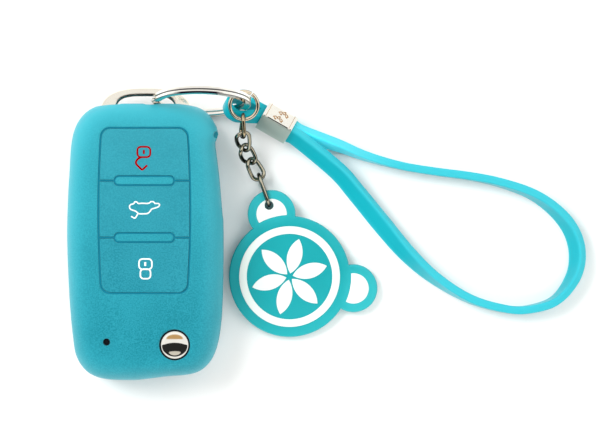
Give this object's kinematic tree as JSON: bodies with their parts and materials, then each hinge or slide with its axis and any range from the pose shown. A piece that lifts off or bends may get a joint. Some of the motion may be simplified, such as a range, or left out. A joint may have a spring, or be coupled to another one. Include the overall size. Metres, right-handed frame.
{
  "type": "key fob cover",
  "caption": "Soft silicone cover on a folding remote key, with key ring, chain charm and flat wrist strap; buttons press, blade swings out, chain and strap move.",
  "frame": {"origin": "centre of the cover's flat underside, on the surface that the key lies on", "axes": "+X to the right of the buttons, towards the charm and strap; +Y towards the bail and key ring; +Z out of the buttons"},
  "size_m": [0.1423, 0.08, 0.0278],
  "materials": {
    "cover_silicone": "frosted silicone, faintly translucent",
    "shell_plastic": "moulded, fine texture",
    "key_rubber": "matt",
    "board_laminate": "solder mask",
    "switch_metal": "stamped",
    "cell_steel": "brushed",
    "clip_brass": "stamped strip",
    "dark_lens": "smoked lens",
    "chip_resin": "resin block",
    "post_steel": "turned",
    "hub_plastic": "moulded",
    "blade_steel": "milled nickel silver",
    "button_chrome": "polished chrome",
    "bail_nickel": "satin nickel",
    "ring_nickel": "bright nickel",
    "chain_nickel": "worn nickel",
    "charm_teal": "soft moulded vinyl, satin",
    "charm_white": "soft moulded vinyl, satin",
    "strap_silicone": "smooth silicone, glossy",
    "sleeve_chrome": "polished, engraved in gold"
  },
  "bodies": {
    "fob": {"cover": "cover_silicone", "key_front_shell": "shell_plastic", "key_rear_shell": "shell_plastic", "circuit_board": "board_laminate", "tact_switches": "switch_metal", "coin_cell": "cell_steel", "battery_clips": "clip_brass", "led": "dark_lens", "transponder_chip": "chip_resin", "pivot_post": "post_steel", "flip_spring": "post_steel", "key_bail": "bail_nickel"},
    "unlock_button": {"unlock_pad": "cover_silicone", "unlock_key": "key_rubber"},
    "boot_button": {"boot_pad": "cover_silicone", "boot_key": "key_rubber"},
    "lock_button": {"lock_pad": "cover_silicone", "lock_key": "key_rubber"},
    "release": {"release_button": "button_chrome"},
    "blade": {"blade_hub": "hub_plastic", "key_blade": "blade_steel", "blade_pin": "post_steel"},
    "ring": {"split_ring": "ring_nickel"},
    "jump": {"jump_ring": "ring_nickel"},
    "link_1": {"chain_link_1": "chain_nickel"},
    "link_2": {"chain_link_2": "chain_nickel"},
    "link_3": {"chain_link_3": "chain_nickel"},
    "link_4": {"chain_link_4": "chain_nickel"},
    "link_5": {"chain_link_5": "chain_nickel"},
    "charm": {"charm_disc": "charm_teal", "charm_halo": "charm_white", "charm_rosette": "charm_white", "charm_ear_inlays": "charm_white"},
    "strap": {"strap_eye": "strap_silicone", "strap_sleeve": "sleeve_chrome", "wrist_strap": "strap_silicone"}
  },
  "joints": [
    {"name": "unlock_press", "type": "slide", "parent": "fob", "child": "unlock_button", "axis": [0, 0, -1], "range_m": [0, 0.0006], "stiffness_N_per_m": 1500},
    {"name": "boot_press", "type": "slide", "parent": "fob", "child": "boot_button", "axis": [0, 0, -1], "range_m": [0, 0.0006], "stiffness_N_per_m": 1500},
    {"name": "lock_press", "type": "slide", "parent": "fob", "child": "lock_button", "axis": [0, 0, -1], "range_m": [0, 0.0006], "stiffness_N_per_m": 1500},
    {"name": "release_press", "type": "slide", "parent": "fob", "child": "release", "axis": [0, 0, -1], "range_m": [0, 0.0015], "stiffness_N_per_m": 800, "deforming": ["flip_spring"]},
    {"name": "blade_swing", "type": "hinge", "parent": "fob", "child": "blade", "pos_m": [0.0082, -0.028, 0.00925], "axis": [0, 0, 1], "range_deg": [-180, 0]},
    {"name": "ring_swing", "type": "hinge", "parent": "fob", "child": "ring", "pos_m": [0.0028, 0.0372, 0.00925], "axis": [0, 0, 1], "range_deg": [0, 36]},
    {"name": "jump_ring_lift", "type": "hinge", "parent": "ring", "child": "jump", "pos_m": [0.02754, 0.03759, 0.0111], "axis": [-0.9986, 0.0523, 0], "range_deg": [0, 20]},
    {"name": "link_1_lift", "type": "hinge", "parent": "jump", "child": "link_1", "pos_m": [0.02664, 0.0334, 0.01133], "axis": [-0.9986, 0.0523, 0], "range_deg": [0, 25]},
    {"name": "link_2_lift", "type": "hinge", "parent": "link_1", "child": "link_2", "pos_m": [0.02647, 0.02976, 0.01074], "axis": [-0.9214, -0.2938, 0.2542], "range_deg": [0, 20]},
    {"name": "link_3_lift", "type": "hinge", "parent": "link_2", "child": "link_3", "pos_m": [0.0265, 0.02613, 0.00738], "axis": [-0.4435, -0.672, 0.593], "range_deg": [0, 20]},
    {"name": "link_4_lift", "type": "hinge", "parent": "link_3", "child": "link_4", "pos_m": [0.02837, 0.02258, 0.00449], "axis": [-0.5472, -0.4714, 0.6917], "range_deg": [0, 20]},
    {"name": "link_5_lift", "type": "hinge", "parent": "link_4", "child": "link_5", "pos_m": [0.03131, 0.01727, 0.0032], "axis": [-0.8746, -0.4848, 0], "range_deg": [0, 20]},
    {"name": "charm_swing", "type": "hinge", "parent": "link_5", "child": "charm", "pos_m": [0.0337, 0.01, 0.00276], "axis": [0.0227, -0.066, 0.9976], "range_deg": [0, 10]},
    {"name": "strap_lift", "type": "hinge", "parent": "ring", "child": "strap", "pos_m": [0.02518, 0.03655, 0.00621], "axis": [-0.6093, -0.1649, -0.7756], "range_deg": [0, 12]}
  ]
}
